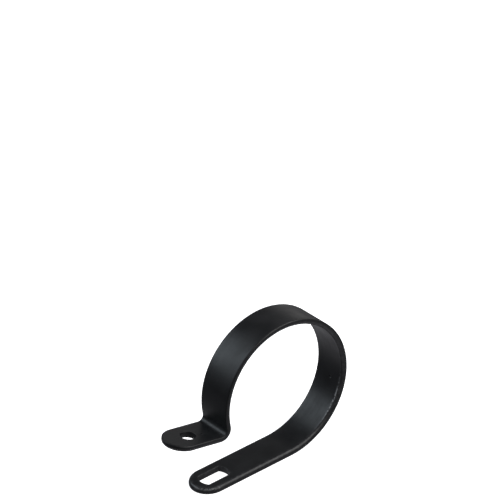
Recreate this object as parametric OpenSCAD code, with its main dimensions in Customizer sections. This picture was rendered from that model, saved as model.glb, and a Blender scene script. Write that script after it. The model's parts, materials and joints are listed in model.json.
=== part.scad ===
// Hose clamp: one flat steel strap, bent to a ring round the hose. A long straight arm leaves the bottom
// of the ring and carries a slot for a bolt. A short foot at the ring's other end carries the bolt's hole.
// The origin is the ring's centre. The ring's axis lies along Y, and the arm runs along -X at the bottom.
// The strap is made as five stretches. Those on each side of the flex line move as one.

/* [Strap] */
// Width of the strap
strap_w = 17.8; // [14:0.2:24]
// Thickness of the strap
strap_t = 2.8; // [1.8:0.1:3.4]
// Rounding of the strap's rolled edges, as a share of its thickness
edge_round = 0.48; // [0.2:0.01:0.49]

/* [Ring] */
// Diameter of the hose that the ring holds
hose_d = 63.5; // [50:0.5:90]
// Where the ring ends and the foot's bend begins, from +X through the top
ring_end = 187.5; // [175:0.5:195]
// Where the strap flexes as the bolt is tightened, from +X through the top
flex_angle = 32; // [10:1:60]
// How far the flex line's rounded end reaches past the strap's faces
flex_nose = 0.3; // [0.2:0.05:1]
// Clearance round the flex line's rounded end
flex_clearance = 0.05; // [0.03:0.01:0.1]

/* [Arm] */
// Length of the arm, from below the ring's centre to its tip
arm_l = 48.8; // [40:0.2:80]
// Length of the bolt slot, over its rounded ends
slot_l = 14.2; // [9:0.2:16]
// Width of the bolt slot, between its flat sides
slot_w = 8; // [5:0.1:8.5]
// Distance from the arm's tip to the slot's centre
slot_from_tip = 11.8; // [11.5:0.1:20]

/* [Foot] */
// Inside radius of the foot's bend
bend_r = 2.4; // [1.5:0.1:6]
// Length of the foot, from its bend to its tip
foot_l = 24.6; // [20:0.2:35]
// Slope of the foot, up towards its tip
foot_rise = 11; // [0:1:20]
// Diameter of the bolt hole
hole_d = 7; // [5:0.1:8.5]
// Distance from the foot's tip to the hole's centre
hole_from_tip = 12.3; // [8:0.1:15]

/* [Hidden] */
$fn = 96;

black = [0.11, 0.11, 0.12];
// How far cuts run past the faces that they open
past = 1;
// Radius of the strap's rolled edges
edge_r = edge_round * strap_t;
// Radii of the strap's middle layer round the ring and round the foot's bend
ring_mid_r = hose_d / 2 + strap_t / 2;
bend_mid_r = bend_r + strap_t / 2;
// How far the foot's bend turns the strap
bend_turn = ring_end - 90 + foot_rise;
// Radius of the rounded end where the two sides of the ring meet
flex_r = strap_t / 2 + flex_nose;
// Length of ring before the flex line that holds the rounded end, and the arc that it takes
nose_l = flex_r + past;
nose_arc = nose_l / ring_mid_r * 180 / PI;

// Cross-section of the strap, with its thickness along X and its width along Y
module strap_section() {
    square([strap_t, strap_w - 2 * edge_r], center = true);
    square([strap_t - 2 * edge_r, strap_w], center = true);
    for (x = [-1, 1], y = [-1, 1])
        translate([x * (strap_t / 2 - edge_r), y * (strap_w / 2 - edge_r)])
            circle(edge_r);
}

// Strap bent round the Y axis, between two angles measured from +X towards +Z
module strap_arc(mid_r, from, to) {
    rotate([90, 0, 0])
        rotate(from)
            rotate_extrude(angle = to - from, $fn = 180)
                translate([mid_r, 0])
                    strap_section();
}

// Straight strap that stands on the origin along +Z, with its faces towards +X and -X
module strap_flat(length) {
    linear_extrude(length) strap_section();
}

// Round end of the strap, standing on the origin as strap_flat does
module strap_tip() {
    rotate([0, 90, 0])
        rotate(90)
            rotate_extrude(angle = 180)
                intersection() {
                    rotate(90) strap_section();
                    translate([0, -strap_t]) square([strap_w, 2 * strap_t]);
                }
}

// Straight strap with a round end, of that length over all
module strap_end(length) {
    strap_flat(length - strap_w / 2);
    translate([0, 0, length - strap_w / 2]) strap_tip();
}

// Cutter for a round hole through the strap, with its axis along X
module round_cut(diameter) {
    rotate([0, 90, 0])
        cylinder(d = diameter, h = strap_t + 2 * past, center = true);
}

// Cutter for the slot: a circle with two flat sides, with its length along Z
module slot_cut() {
    intersection() {
        round_cut(slot_l);
        cube([strap_t + 2 * past, slot_w, slot_l], center = true);
    }
}

// Puts what it holds on the flex line, with +Z along the ring towards the foot
module at_flex_line() {
    rotate([0, -flex_angle, 0])
        translate([ring_mid_r, 0, 0])
            children();
}

// Rod along the flex line, where the two sides of the ring meet
module flex_rod(radius) {
    at_flex_line()
        rotate([90, 0, 0])
            cylinder(r = radius, h = strap_w + 2 * past, center = true);
}

// Cutter that leaves a rounded end on a strap that runs past the flex line
module nose_cut() {
    difference() {
        at_flex_line()
            translate([0, 0, -nose_l])
                cube([2 * nose_l, strap_w + 2 * past, 2 * nose_l], center = true);
        flex_rod(flex_r);
    }
}

// Straight arm with the bolt slot
module arm() {
    color(black)
        translate([0, 0, -ring_mid_r])
            rotate([0, -90, 0])
                difference() {
                    strap_end(arm_l);
                    translate([0, 0, arm_l - slot_from_tip]) slot_cut();
                }
}

// Lower part of the ring, from the arm up to the flex line
module lower_band() {
    color(black)
        difference() {
            strap_arc(ring_mid_r, -90, flex_angle);
            flex_rod(flex_r + flex_clearance);
        }
}

// Upper part of the ring, from the flex line over the top to the foot
module upper_band() {
    color(black)
        difference() {
            strap_arc(ring_mid_r, flex_angle - nose_arc, ring_end);
            nose_cut();
        }
}

// Puts what it holds at the centre of the foot's bend, with the ring's outside towards +X
module at_foot_bend() {
    rotate([0, -ring_end, 0])
        translate([ring_mid_r + bend_mid_r, 0, 0])
            children();
}

// Bend that turns the strap out from the ring
module foot_bend() {
    color(black)
        at_foot_bend()
            mirror([1, 0, 0])
                strap_arc(bend_mid_r, 0, bend_turn);
}

// Flat foot with the bolt hole
module foot() {
    color(black)
        at_foot_bend()
            rotate([0, bend_turn, 0])
                translate([-bend_mid_r, 0, 0])
                    difference() {
                        strap_end(foot_l);
                        translate([0, 0, foot_l - hole_from_tip]) round_cut(hole_d);
                    }
}

arm();
lower_band();
upper_band();
foot_bend();
foot();
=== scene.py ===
"""Hose clamp: one bent steel strap with a satin black coat.

The strap is modelled as a flat blank, with its rounded edges, its bolt slot and its bolt hole,
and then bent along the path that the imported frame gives. It is cut into three pieces, because
the ring flexes at its crown as the clamp closes. All lengths are in metres.
"""

import json
import math

import bmesh
import bpy
import numpy as np
from mathutils import Matrix, Vector


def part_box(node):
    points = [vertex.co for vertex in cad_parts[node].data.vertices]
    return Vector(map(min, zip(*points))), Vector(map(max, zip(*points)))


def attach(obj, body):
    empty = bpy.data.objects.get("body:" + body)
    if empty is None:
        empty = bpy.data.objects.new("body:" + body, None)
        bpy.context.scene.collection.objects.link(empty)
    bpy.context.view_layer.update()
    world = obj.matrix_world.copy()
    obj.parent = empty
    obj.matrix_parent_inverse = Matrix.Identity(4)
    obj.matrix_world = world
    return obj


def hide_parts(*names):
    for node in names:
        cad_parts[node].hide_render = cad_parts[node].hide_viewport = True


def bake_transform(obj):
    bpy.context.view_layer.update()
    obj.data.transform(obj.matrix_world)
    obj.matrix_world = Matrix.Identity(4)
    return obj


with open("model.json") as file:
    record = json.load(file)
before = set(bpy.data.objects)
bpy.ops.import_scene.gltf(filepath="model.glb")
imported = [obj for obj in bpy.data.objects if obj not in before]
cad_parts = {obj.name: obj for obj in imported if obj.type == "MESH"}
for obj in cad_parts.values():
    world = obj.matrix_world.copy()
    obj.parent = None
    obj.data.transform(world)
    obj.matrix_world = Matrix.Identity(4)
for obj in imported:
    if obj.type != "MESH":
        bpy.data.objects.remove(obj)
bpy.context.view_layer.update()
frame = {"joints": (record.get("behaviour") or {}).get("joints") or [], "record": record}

MM = 0.001

# ---------------------------------------------------------------- camera
# Where the photograph was taken from: the angles of the view axis, and the ring's centre as it
# is seen from there, in ring radii to the right of that axis and below it.
VIEW_AZIMUTH, VIEW_ELEVATION, VIEW_ROLL = -36.97, 30.62, -3.64
VIEW_DISTANCE = 1.326
LENS_MM, SENSOR_MM = 215.65, 36.0
RIGHT_OF_AXIS, BELOW_AXIS = 0.331, 1.7815

# ---------------------------------------------------------------- sizes
mounts = {m["name"]: m for m in frame["record"]["mounts"]}
arm_low, arm_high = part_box("arm")

HOSE_R = mounts["hose_seat"]["dims"]["r_mm"] * MM
OUTER_R = -arm_low.z
RING_R = (OUTER_R + HOSE_R) / 2
STRAP_T = OUTER_R - HOSE_R
STRAP_W = arm_high.y - arm_low.y
EDGE_R = (STRAP_W - mounts["hose_seat"]["dims"]["length_mm"] * MM) / 2
ARM_L = -arm_low.x

SLOT_HALF_W = mounts["arm_bolt_slot"]["dims"]["hole_r_mm"] * MM
SLOT_HALF_L = mounts["arm_bolt_slot"]["dims"]["slot_length_mm"] * MM / 2
SLOT_AT = ARM_L + mounts["arm_bolt_slot"]["pos_m"][0]
HOLE_R = mounts["foot_bolt_hole"]["dims"]["r_mm"] * MM
foot_hole = Vector(mounts["foot_bolt_hole"]["pos_m"])
foot_up = Vector(mounts["foot_bolt_hole"]["axis"])
foot_root_way = Vector((foot_up.z, 0, -foot_up.x))

# Two sizes that the frame doesn't state: the bend's inside radius, and the foot's length past its hole.
BEND_R = 2.4 * MM + STRAP_T / 2
HOLE_FROM_TIP = 12.3 * MM

# The bend's centre is a bend radius above the foot's middle layer, and the bend meets the ring.
above_hole = foot_hole + BEND_R * foot_up
along = above_hole.dot(foot_root_way)
hole_to_bend = -along - math.sqrt(along**2 - above_hole.length_squared + (RING_R + BEND_R) ** 2)
bend_at = above_hole + hole_to_bend * foot_root_way
RING_END = math.atan2(bend_at.z, bend_at.x) % math.tau
FOOT_L = hole_to_bend + HOLE_FROM_TIP

# Rounding of the punched edges of the hole and the slot
PUNCHED_R = 0.2 * MM

# Two small punch marks: one on the foot's upper face, and one inside the ring beside the hose
MARK_R, MARK_DEPTH, MARK_Y = 1.0 * MM, 0.28 * MM, -1.5 * MM
FOOT_MARK_FROM_HOLE = 6.8 * MM
RING_MARK_ANGLE = math.radians(-17)

# ---------------------------------------------------------------- the strap's path
# Each stretch is its length and its curvature: none for the arm and the foot, left round the
# ring, and right round the foot's bend. It runs from the arm's tip to the foot's.
ring_turn = RING_END + math.pi / 2
bend_turn = RING_END - math.pi / 2 + math.atan2(foot_up.x, foot_up.z)
STRETCHES = [
    (ARM_L, 0.0),
    (ring_turn * RING_R, 1 / RING_R),
    (bend_turn * BEND_R, -1 / BEND_R),
    (FOOT_L, 0.0),
]
STRAP_L = sum(length for length, _ in STRETCHES)
RING_FROM = ARM_L
HOLE_AT = STRAP_L - HOLE_FROM_TIP
# Each mark's distance along the strap, and its face: 1 is the ring's inside, -1 the foot's top
MARKS = [
    (RING_FROM + (RING_MARK_ANGLE + math.pi / 2) * RING_R, 1),
    (HOLE_AT - FOOT_MARK_FROM_HOLE, -1),
]


def along_path(s):
    """Middle-layer x and z, and the heading, at each distance s from the arm's tip."""
    s = np.asarray(s, float)
    x, z, heading = np.zeros_like(s), np.zeros_like(s), np.zeros_like(s)
    x0, z0, h0, begin = -ARM_L, -RING_R, 0.0, 0.0
    for length, curve in STRETCHES:
        here = s >= begin
        u = s[here] - begin
        heading[here] = h0 + curve * u
        if curve:
            x[here] = x0 + (np.sin(h0 + curve * u) - math.sin(h0)) / curve
            z[here] = z0 - (np.cos(h0 + curve * u) - math.cos(h0)) / curve
            x0 += (math.sin(h0 + curve * length) - math.sin(h0)) / curve
            z0 -= (math.cos(h0 + curve * length) - math.cos(h0)) / curve
        else:
            x[here] = x0 + u * math.cos(h0)
            z[here] = z0 + u * math.sin(h0)
            x0 += length * math.cos(h0)
            z0 += length * math.sin(h0)
        h0 += curve * length
        begin += length
    return x, z, heading


def bend_points(flat):
    """Row-frame points for blank points (s, y, n), with n towards the ring's inside."""
    x, z, heading = along_path(flat[:, 0])
    x = x - np.sin(heading) * flat[:, 2]
    z = z + np.cos(heading) * flat[:, 2]
    return np.stack([x, flat[:, 1], z], 1)


def bend_normals(flat, normals):
    """Row-frame normals for blank normals at blank points."""
    _, _, heading = along_path(flat[:, 0])
    cos, sin = np.cos(heading), np.sin(heading)
    x = normals[:, 0] * cos - normals[:, 2] * sin
    z = normals[:, 0] * sin + normals[:, 2] * cos
    turned = np.stack([x, normals[:, 1], z], 1)
    return turned / np.linalg.norm(turned, axis=1, keepdims=True)


# ---------------------------------------------------------------- the flat blank
HALF_W, HALF_T = STRAP_W / 2, STRAP_T / 2
FACE_HALF_W = HALF_W - EDGE_R

# The punched section: a deep rounding on the ring's inner side, and a tight corner on its outer
# side. The corner is a superellipse, stepped so that its points gather where it turns.
ROLL_DEPTH = 1.3
ROLL_STEPS = 8
CORNER_POWER = 2 / 5
CORNER_TURNS = (12, 30, 45, 60, 78, 90)


def rounding(radius):
    """Across an edge: how far out from the flat face's border, n, and the normal's two shares."""
    depth = ROLL_DEPTH * radius
    rest = STRAP_T - depth
    points = []
    for a in np.linspace(0, math.pi / 2, ROLL_STEPS):
        sin, cos = math.sin(a), math.cos(a)
        points.append((radius * sin, HALF_T - depth * (1 - cos), sin * depth, cos * radius))
    for a in map(math.radians, CORNER_TURNS):
        sin, cos = math.sin(a), max(math.cos(a), 0)
        out, down = radius * cos**CORNER_POWER, rest * sin**CORNER_POWER
        side, up = rest * cos ** (2 - CORNER_POWER), -radius * sin ** (2 - CORNER_POWER)
        points.append((out, HALF_T - depth - down, side, up))
    return points


def with_fine_part(values, middle):
    """The values, but with close ones for a mark round the middle."""
    fine = middle + np.linspace(-1.1, 1.1, 17) * MARK_R
    coarse = values[abs(values - middle) > 1.3 * MARK_R]
    return np.sort(np.concatenate([coarse, fine]))


def face_rows():
    """The y of the face's lengthwise lines, close together near its borders and at the marks."""
    inner = np.linspace(-1, 1, 21) * (FACE_HALF_W - 0.5 * MM)
    return with_fine_part(np.concatenate([[-FACE_HALF_W], inner, [FACE_HALF_W]]), MARK_Y)


def add_grid(bm, layers, points, normals):
    """Quads over a grid of blank points with their blank normals."""
    strap, normal = layers
    verts = []
    for row_points, row_normals in zip(points, normals):
        row = []
        for p, q in zip(row_points, row_normals):
            v = bm.verts.new(p)
            v[strap] = Vector(p)
            v[normal] = Vector(q).normalized()
            row.append(v)
        verts.append(row)
    for above, below in zip(verts, verts[1:]):
        for i in range(len(above) - 1):
            bm.faces.new((above[i], above[i + 1], below[i + 1], below[i]))


def add_faces(bm, layers, grid):
    """The same grid of (s, y) on the strap's two faces."""
    for n in (HALF_T, -HALF_T):
        points = [[(s, y, n) for s, y in row] for row in grid]
        up = [[(0, 0, math.copysign(1, n)) for _ in row] for row in grid]
        add_grid(bm, layers, points, up)


def add_edge(bm, layers, border, outward, radius, outline=None):
    """A rounded edge along a border of (s, y), whose outward directions are given. An outline
    function gives the border's places as the edge goes out, where they aren't straight out."""
    points, normals = [], []
    for out, n, side, up in rounding(radius):
        if outline:
            places = outline(out)
        else:
            places = [(s + a * out, y + b * out) for (s, y), (a, b) in zip(border, outward)]
        points.append([(s, y, n) for s, y in places])
        normals.append([(a * side, b * side, up) for a, b in outward])
    add_grid(bm, layers, points, normals)


def add_sweep(bm, layers, stations):
    """The plain strap between two distances along it."""
    rows = face_rows()
    add_faces(bm, layers, [[(s, y) for y in rows] for s in stations])
    for side in (-1, 1):
        border = [(s, side * FACE_HALF_W) for s in stations]
        add_edge(bm, layers, border, [(0, side)] * len(border), EDGE_R)


def add_cap(bm, layers, s):
    """Closes the strap where it is cut across at s."""
    strap, normal = layers
    rows = face_rows()
    edge = rounding(EDGE_R)[1:-1]
    loop = [(y, HALF_T, 0, 1) for y in rows]
    loop += [(FACE_HALF_W + out, n, side, up) for out, n, side, up in edge]
    loop += [(y, -HALF_T, 0, -1) for y in reversed(rows)]
    loop += [(-FACE_HALF_W - out, n, -side, up) for out, n, side, up in reversed(edge)]
    verts = []
    for y, n, side, up in loop:
        v = bm.verts.new((s, y, n))
        v[strap] = Vector((s, y, n))
        v[normal] = Vector((0, side, up)).normalized()
        verts.append(v)
    bm.faces.new(verts)


def round_hole(radius):
    """Distance from the centre and outward direction at a polar angle, for a round hole."""

    def at(angle, wider=0.0):
        return radius + wider, (math.cos(angle), math.sin(angle))

    return at


def flat_sided_slot(half_l, half_w):
    """The same for a circle of half_l with two flat sides half_w from its middle."""

    def at(angle, wider=0.0):
        flat = (half_w + wider) / max(abs(math.sin(angle)), 1e-9)
        if flat < half_l + wider:
            return flat, (0.0, math.copysign(1, math.sin(angle)))
        return half_l + wider, (math.cos(angle), math.sin(angle))

    return at


def add_end(bm, layers, tip, way, cut, centre, opening, corners=()):
    """A round end with an opening. tip is its s, way is +1 where the strap runs on to larger s,
    cut is the s where the plain strap begins, and centre is the opening's s."""
    tip_centre = tip + way * HALF_W
    turns = np.linspace(math.pi / 2, -math.pi / 2, 49)
    round_border = [
        (tip_centre - way * FACE_HALF_W * math.cos(a), FACE_HALF_W * math.sin(a)) for a in turns
    ]
    round_out = [(-way * math.cos(a), math.sin(a)) for a in turns]
    steps = np.linspace(cut, tip_centre, 2 + int(abs(cut - tip_centre) / (0.7 * MM)))[:-1]
    one_side = [(s, FACE_HALF_W) for s in steps]
    other_side = [(s, -FACE_HALF_W) for s in reversed(steps)]
    border = one_side + round_border + other_side
    outward = [(0, 1)] * len(one_side) + round_out + [(0, -1)] * len(other_side)
    add_edge(bm, layers, border, outward, EDGE_R)

    # The face runs from that border, closed along the cut, in to the opening.
    rows = face_rows()
    loop = border + [(cut, y) for y in rows[1:]]
    angles = np.unwrap([math.atan2(y, s - centre) for s, y in loop])
    for corner in corners:
        turned = (angles - corner + math.pi) % math.tau - math.pi
        nearest = int(np.argmin(abs(turned)))
        angles[nearest] -= turned[nearest]
    angles[-1] = angles[0] + math.copysign(math.tau, angles[-1] - angles[0])

    def ring(wider):
        return [
            (centre + r * math.cos(a), r * math.sin(a))
            for a, (r, _) in zip(angles, (opening(a, wider) for a in angles))
        ]

    rim = ring(PUNCHED_R)
    shares = [0, 0.06, 0.14, 0.25, 0.38, 0.52, 0.66, 0.8, 0.92, 1]
    grid = [
        [(a[0] + k * (b[0] - a[0]), a[1] + k * (b[1] - a[1])) for a, b in zip(loop, rim)]
        for k in shares
    ]
    add_faces(bm, layers, grid)
    inward = [(-d[0], -d[1]) for _, d in (opening(a) for a in angles)]
    add_edge(bm, layers, rim, inward, PUNCHED_R, lambda out: ring(PUNCHED_R - out))


# How far the rubbed edges and their painted edge highlight fade into a face, and the half width of the
# painted highlight line and of the chipped rim
RUB_AND_HIGHLIGHT_FADE = 0.45 * MM
HIGHLIGHT_LINE_AND_CHIP_W = 0.3 * MM
# A painted highlight line on the ring's front inner edge, in bare steel colour: the middle of it, and
# how far it runs each way
PAINTED_HIGHLIGHT_AT = RING_FROM + math.radians(90 - 32) * RING_R
PAINTED_HIGHLIGHT_HALF_L = 9 * MM


def punch_marks(flat, normal):
    """Presses the marks into the blank's faces, and tilts the normals round them."""
    for mark_s, side in MARKS:
        ds, dy = flat[:, 0] - mark_s, flat[:, 1] - MARK_Y
        share = 1 - (ds**2 + dy**2) / MARK_R**2
        inside = (share > 0) & (flat[:, 2] * side > HALF_T - 0.001 * MM)
        share, ds, dy = share[inside], ds[inside], dy[inside]
        slope = 4 * MARK_DEPTH * share / MARK_R**2
        flat[inside, 2] -= side * MARK_DEPTH * share**2
        normal[inside] = np.stack([-slope * ds, -slope * dy, np.full_like(ds, side)], 1)


def edge_rub_and_highlight(flat):
    """How near a blank point is to an edge, for rubbed coat and a painted edge highlight: 1 on the
    inner side's edges, 0 well inside a face.
    """
    s, y, n = flat.T
    tip_s = np.clip(s, HALF_W, STRAP_L - HALF_W)
    inside = FACE_HALF_W - np.hypot(s - tip_s, y)
    hole = np.hypot(s - HOLE_AT, y) - HOLE_R - PUNCHED_R
    slot = np.maximum(np.hypot(s - SLOT_AT, y) - SLOT_HALF_L, -1) - PUNCHED_R
    slot_flat = abs(y) - SLOT_HALF_W - PUNCHED_R
    slot = np.where(abs(s - SLOT_AT) < SLOT_HALF_L, np.maximum(slot, slot_flat), slot)
    near = np.minimum(np.minimum(inside, hole), slot)
    inner_side = np.clip(0.5 + n / HALF_T, 0.1, 1)
    return inner_side * np.exp(-((np.maximum(near, 0) / RUB_AND_HIGHLIGHT_FADE) ** 2))


def chips_and_painted_highlight(flat):
    """How much bare steel colour a blank point gets: a painted highlight line along the ring's front
    inner edge, and chips on the arm tip's front.
    """
    s, y, n = flat.T
    # Painted highlight: a thin light line along the ring's front inner edge
    painted_highlight_line = np.exp(-(((y + FACE_HALF_W) / HIGHLIGHT_LINE_AND_CHIP_W) ** 2)) * (n > HALF_T / 2)
    painted_highlight_stretch = np.exp(-(((s - PAINTED_HIGHLIGHT_AT) / PAINTED_HIGHLIGHT_HALF_L) ** 2))
    from_tip = np.hypot(np.minimum(s - HALF_W, 0), y)
    rim = HALF_W - 0.4 * EDGE_R
    on_rim = np.exp(-(((from_tip - rim) / HIGHLIGHT_LINE_AND_CHIP_W) ** 2)) * (n > 0) * (s < HALF_W) * (y < 0)
    return np.clip(painted_highlight_line * painted_highlight_stretch + 0.4 * on_rim, 0, 1)


def finish_piece(name, bm, layers):
    """Joins the blank's patches, bends it, and gives it its true normals and its coordinates."""
    bmesh.ops.remove_doubles(bm, verts=bm.verts, dist=0.001 * MM)
    bmesh.ops.recalc_face_normals(bm, faces=bm.faces)
    mesh = bpy.data.meshes.new(name)
    bm.to_mesh(mesh)
    bm.free()
    count = len(mesh.vertices)
    flat, normal = np.zeros(count * 3), np.zeros(count * 3)
    mesh.attributes["strap"].data.foreach_get("vector", flat)
    mesh.attributes["blank_normal"].data.foreach_get("vector", normal)
    flat, normal = flat.reshape(-1, 3), normal.reshape(-1, 3)
    punch_marks(flat, normal)
    mesh.vertices.foreach_set("co", bend_points(flat).ravel())
    mesh.attributes.remove(mesh.attributes["blank_normal"])
    rub_and_highlight_layer = mesh.attributes.new("edge", "FLOAT", "POINT")
    rub_and_highlight_layer.data.foreach_set("value", edge_rub_and_highlight(flat))
    # Mask of the chips and of the painted highlight line
    chip_and_highlight_mask = mesh.attributes.new("chip_and_highlight_mask", "FLOAT", "POINT")
    chip_and_highlight_mask.data.foreach_set("value", chips_and_painted_highlight(flat))
    mesh.update()
    mesh.shade_smooth()
    true_normals = bend_normals(flat, normal)
    corners = np.zeros((len(mesh.loops), 3))
    for face in mesh.polygons:
        for i in face.loop_indices:
            cap = len(face.vertices) > 4
            corners[i] = face.normal if cap else true_normals[mesh.loops[i].vertex_index]
    mesh.normals_split_custom_set(corners.tolist())
    piece = bpy.data.objects.new(name, mesh)
    bpy.context.scene.collection.objects.link(piece)
    return piece


def new_blank():
    bm = bmesh.new()
    layers = (
        bm.verts.layers.float_vector.new("strap"),
        bm.verts.layers.float_vector.new("blank_normal"),
    )
    return bm, layers


def stations(begin, end, step=0.9 * MM):
    """Evenly spread distances along the strap, with close ones at a mark."""
    spread = np.linspace(begin, end, 2 + int((end - begin) / step))
    for mark_s, _ in MARKS:
        if begin < mark_s - 1.4 * MARK_R and mark_s + 1.4 * MARK_R < end:
            spread = with_fine_part(spread, mark_s)
    return spread


# ---------------------------------------------------------------- the pieces
joint = frame["joints"][0]
FLEX_ANGLE = math.atan2(joint["pos_m"][2], joint["pos_m"][0])
FLEX_HALF = math.radians(60)
crown_angles = (FLEX_ANGLE - FLEX_HALF, FLEX_ANGLE + FLEX_HALF)
crown_from, crown_to = (RING_FROM + (a + math.pi / 2) * RING_R for a in crown_angles)
ring_to = RING_FROM + ring_turn * RING_R
bend_to = ring_to + bend_turn * BEND_R
SLOT_END = SLOT_AT + SLOT_HALF_L + 4 * MM
HOLE_END = HOLE_AT - HOLE_R - 3 * MM
slot_corner = math.asin(SLOT_HALF_W / SLOT_HALF_L)


def make_arm_side():
    bm, layers = new_blank()
    corners = (slot_corner, -slot_corner, math.pi - slot_corner, slot_corner - math.pi)
    opening = flat_sided_slot(SLOT_HALF_L, SLOT_HALF_W)
    add_end(bm, layers, 0.0, 1, SLOT_END, SLOT_AT, opening, corners)
    add_sweep(bm, layers, stations(SLOT_END, RING_FROM))
    add_sweep(bm, layers, stations(RING_FROM, crown_from))
    add_cap(bm, layers, crown_from)
    return finish_piece("strap_arm_side", bm, layers)


def make_crown():
    bm, layers = new_blank()
    add_sweep(bm, layers, stations(crown_from, crown_to))
    add_cap(bm, layers, crown_from)
    add_cap(bm, layers, crown_to)
    return finish_piece("strap_crown", bm, layers)


def make_foot_side():
    bm, layers = new_blank()
    add_cap(bm, layers, crown_to)
    add_sweep(bm, layers, stations(crown_to, ring_to))
    add_sweep(bm, layers, stations(ring_to, bend_to, 0.35 * MM))
    add_sweep(bm, layers, stations(bend_to, HOLE_END))
    add_end(bm, layers, STRAP_L, -1, HOLE_END, HOLE_AT, round_hole(HOLE_R))
    return finish_piece("strap_foot_side", bm, layers)


# ---------------------------------------------------------------- material
COAT_DARK = (0.0062, 0.0064, 0.0072, 1)
COAT_LIGHT = (0.0105, 0.0108, 0.0119, 1)
# Lighter coat, for rubbed edges and for a painted edge highlight
RUBBED_COAT_AND_HIGHLIGHT = (0.060, 0.060, 0.062, 1)
# Bare steel colour, for real chips and for a painted highlight line
BARE_STEEL_AND_HIGHLIGHT = (0.50, 0.50, 0.51, 1)


def black_coat():
    """Satin black coat on rolled steel, thin and rubbed on the edges, with a painted edge highlight and
    a painted highlight line in bare steel colour.
    """
    mat = bpy.data.materials.new("satin_black_coat")
    mat.use_nodes = True
    nodes, links = mat.node_tree.nodes, mat.node_tree.links
    shader = nodes["Principled BSDF"]
    shader.inputs["IOR"].default_value = 1.5

    def node(kind, **values):
        made = nodes.new(kind)
        for key, value in values.items():
            if hasattr(made, key):
                setattr(made, key, value)
            else:
                made.inputs[key.replace("_", " ")].default_value = value
        return made

    def link(source, target, out=0):
        links.new(source.outputs[out], target)

    place = node("ShaderNodeAttribute", attribute_name="strap")
    edge = node("ShaderNodeAttribute", attribute_name="edge")
    chip_and_highlight_mask = node("ShaderNodeAttribute", attribute_name="chip_and_highlight_mask")

    def noise(per_mm, detail=2.0, roughness=0.5, stretch=(1, 1, 1)):
        """Noise in the strap's own coordinates, with its scale in cells per millimetre."""
        scale = node("ShaderNodeMapping")
        scale.inputs["Scale"].default_value = [per_mm / MM * k for k in stretch]
        links.new(place.outputs["Vector"], scale.inputs["Vector"])
        made = node("ShaderNodeTexNoise", Scale=1.0, Detail=detail, Roughness=roughness)
        link(scale, made.inputs["Vector"])
        return made

    def ramp(source, low, high, out_low, out_high, out=0):
        made = node("ShaderNodeMapRange", interpolation_type="SMOOTHSTEP")
        link(source, made.inputs["Value"], out)
        made.inputs["From Min"].default_value = low
        made.inputs["From Max"].default_value = high
        made.inputs["To Min"].default_value = out_low
        made.inputs["To Max"].default_value = out_high
        return made

    def maths(operation, a, b, a_out=0):
        made = node("ShaderNodeMath", operation=operation)
        links.new(a.outputs[a_out], made.inputs[0])
        if isinstance(b, (int, float)):
            made.inputs[1].default_value = b
        else:
            links.new(b.outputs[0], made.inputs[1])
        return made

    blotches = noise(0.12, 3.0, 0.55)
    streaks = noise(1.0, 3.0, 0.6, stretch=(0.06, 1.6, 1.0))
    grain = noise(2.6, 3.0, 0.6)
    peel = noise(0.9, 1.0, 0.4)
    patches = noise(0.55, 4.0, 0.62)

    # Rubbed edges, partly a painted edge highlight: the edge mask, broken up by patches
    edge_breakup = ramp(patches, 0.42, 0.66, 0.25, 1.0)
    rub_and_highlight = maths("MULTIPLY", edge, edge_breakup, a_out=2)

    # Bare metal colour: small chips where the edges are scuffed, and a painted highlight line along the
    # ring's front inner edge
    speckle_breakup = ramp(noise(0.9, 3.0, 0.6), 0.40, 0.56, 0.0, 1.0)

    # Colour
    body = node("ShaderNodeMix", data_type="RGBA")
    body.inputs["A"].default_value = COAT_DARK
    body.inputs["B"].default_value = COAT_LIGHT
    link(ramp(blotches, 0.3, 0.7, 0.0, 1.0), body.inputs["Factor"])
    rubbed_or_highlit_mix = node("ShaderNodeMix", data_type="RGBA")
    rubbed_or_highlit_mix.inputs["B"].default_value = RUBBED_COAT_AND_HIGHLIGHT
    links.new(body.outputs["Result"], rubbed_or_highlit_mix.inputs["A"])
    # Lighter edges: rubbed coat and a painted edge highlight
    link(maths("MULTIPLY", rub_and_highlight, 0.6), rubbed_or_highlit_mix.inputs["Factor"])
    chip_and_highlight_mix = node("ShaderNodeMix", data_type="RGBA")
    chip_and_highlight_mix.inputs["B"].default_value = BARE_STEEL_AND_HIGHLIGHT
    links.new(rubbed_or_highlit_mix.outputs["Result"], chip_and_highlight_mix.inputs["A"])
    # Bare steel colour: chips, and the painted highlight line on the ring's inner edge
    link(maths("MULTIPLY", chip_and_highlight_mask, speckle_breakup, a_out=2), chip_and_highlight_mix.inputs["Factor"])
    links.new(chip_and_highlight_mix.outputs["Result"], shader.inputs["Base Color"])

    # Roughness: satin, a little uneven, smoother where it is rubbed
    satin = ramp(blotches, 0.25, 0.75, 0.36, 0.46)
    streaky = maths("ADD", satin, ramp(streaks, 0.3, 0.7, -0.03, 0.03))
    rubbed = maths("SUBTRACT", streaky, maths("MULTIPLY", rub_and_highlight, 0.08))
    link(rubbed, shader.inputs["Roughness"])

    # Relief: orange peel and rolling marks under a fine grain
    coarse = node("ShaderNodeBump", Strength=0.35, Distance=0.02 * MM)
    link(maths("ADD", peel, maths("MULTIPLY", streaks, 0.5)), coarse.inputs["Height"])
    fine = node("ShaderNodeBump", Strength=0.35, Distance=0.006 * MM)
    link(grain, fine.inputs["Height"])
    link(coarse, fine.inputs["Normal"])
    link(fine, shader.inputs["Normal"])
    return mat


# ---------------------------------------------------------------- stage, light and camera
STUDIO = (0.088, 0.090, 0.097, 1)
FLOOR_GLOW = (0.42, 0.42, 0.45, 1)


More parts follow.
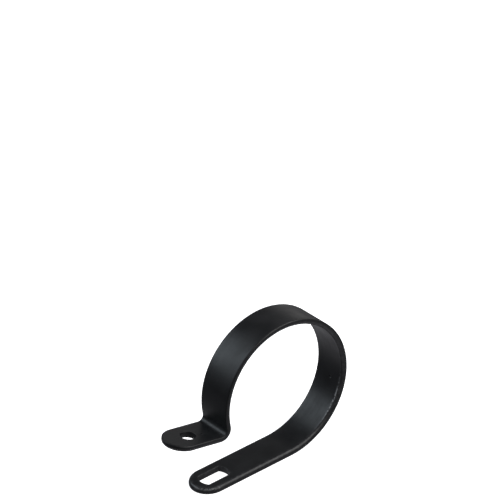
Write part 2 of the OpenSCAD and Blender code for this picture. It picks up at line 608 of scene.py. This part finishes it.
def view_axes():
    """Right, up and back of the camera, in the row frame."""
    azimuth, elevation, roll = map(math.radians, (VIEW_AZIMUTH, VIEW_ELEVATION, VIEW_ROLL))
    cos_e = math.cos(elevation)
    back = Vector((math.sin(azimuth) * cos_e, -math.cos(azimuth) * cos_e, math.sin(elevation)))
    level = Vector((math.cos(azimuth), math.sin(azimuth), 0))
    rise = back.cross(level)
    right = level * math.cos(roll) + rise * math.sin(roll)
    return right, back.cross(right), back


def make_camera():
    right, up, back = view_axes()
    data = bpy.data.cameras.new("camera")
    data.lens, data.sensor_width = LENS_MM, SENSOR_MM
    camera = bpy.data.objects.new("camera", data)
    bpy.context.scene.collection.objects.link(camera)
    place = VIEW_DISTANCE * back - RIGHT_OF_AXIS * RING_R * right + BELOW_AXIS * RING_R * up
    turn = Matrix((right, up, back)).transposed().to_4x4()
    camera.matrix_world = Matrix.Translation(place) @ turn
    bpy.context.scene.camera = camera


def make_floor():
    half = 3.0
    bm = bmesh.new()
    bmesh.ops.create_grid(bm, x_segments=8, y_segments=8, size=half)
    mesh = bpy.data.meshes.new("floor")
    bm.to_mesh(mesh)
    bm.free()
    floor = bpy.data.objects.new("floor", mesh)
    floor.location.z = -OUTER_R
    bpy.context.scene.collection.objects.link(floor)
    mat = bpy.data.materials.new("floor_white")
    mat.use_nodes = True
    shader = mat.node_tree.nodes["Principled BSDF"]
    shader.inputs["Base Color"].default_value = (0.9, 0.9, 0.9, 1)
    shader.inputs["Roughness"].default_value = 0.9
    shader.inputs["Emission Color"].default_value = (1, 1, 1, 1)
    shader.inputs["Emission Strength"].default_value = 1.0
    mesh.materials.append(mat)
    floor.visible_glossy = False
    floor.visible_diffuse = False


def make_softbox(name, way, width, height, power, colour, distance=0.6):
    """A rectangular light that faces the ring's centre from the direction way."""
    data = bpy.data.lights.new(name, "AREA")
    data.shape = "RECTANGLE"
    data.size, data.size_y = width, height
    data.energy = power
    data.color = colour
    light = bpy.data.objects.new(name, data)
    bpy.context.scene.collection.objects.link(light)
    way = Vector(way).normalized()
    light.location = way * distance
    light.rotation_mode = "QUATERNION"
    light.rotation_quaternion = way.to_track_quat("Z", "Y")


def make_surroundings():
    """A dim studio, with the pale floor's glow below the horizon."""
    world = bpy.data.worlds.new("studio")
    world.use_nodes = True
    nodes, links = world.node_tree.nodes, world.node_tree.links
    way = nodes.new("ShaderNodeTexCoord")
    parts = nodes.new("ShaderNodeSeparateXYZ")
    glow = nodes.new("ShaderNodeMapRange")
    glow.interpolation_type = "SMOOTHSTEP"
    glow.inputs["From Min"].default_value = -0.3
    glow.inputs["From Max"].default_value = -0.8
    glow.inputs["To Min"].default_value = 0.0
    glow.inputs["To Max"].default_value = 1.0
    mix = nodes.new("ShaderNodeMix")
    mix.data_type = "RGBA"
    mix.inputs["A"].default_value = STUDIO
    mix.inputs["B"].default_value = FLOOR_GLOW
    links.new(way.outputs["Generated"], parts.inputs["Vector"])
    links.new(parts.outputs["Z"], glow.inputs["Value"])
    links.new(glow.outputs["Result"], mix.inputs["Factor"])
    links.new(mix.outputs["Result"], nodes["Background"].inputs["Color"])
    bpy.context.scene.world = world


def make_lights():
    make_softbox("behind_left", (-0.47, 0.69, 0.54), 0.33, 0.36, 0.86, (0.82, 0.92, 1.0))
    make_softbox("behind_right", (0.71, 0.69, 0.12), 0.3, 0.2, 0.09, (1.0, 0.98, 0.95))
    make_softbox("front", (0.26, -0.72, 0.62), 0.6, 0.5, 2.2, (1.0, 1.0, 1.0))
    make_softbox("right_above", (0.52, -0.06, 0.83), 0.35, 0.42, 1.2, (1.0, 1.0, 1.0))


# ---------------------------------------------------------------- build
make_camera()
coat = black_coat()
arm_side, crown, foot_side = make_arm_side(), make_crown(), make_foot_side()
for piece in (arm_side, crown, foot_side):
    piece.data.materials.append(coat)
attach(arm_side, "arm_side")
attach(foot_side, "foot_side")
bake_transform(crown)
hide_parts("arm", "lower_band")
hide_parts("lower_band", "upper_band")
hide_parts("upper_band", "foot_bend", "foot")

make_floor()
make_surroundings()
make_lights()
scene = bpy.context.scene
scene.view_settings.view_transform = "Standard"
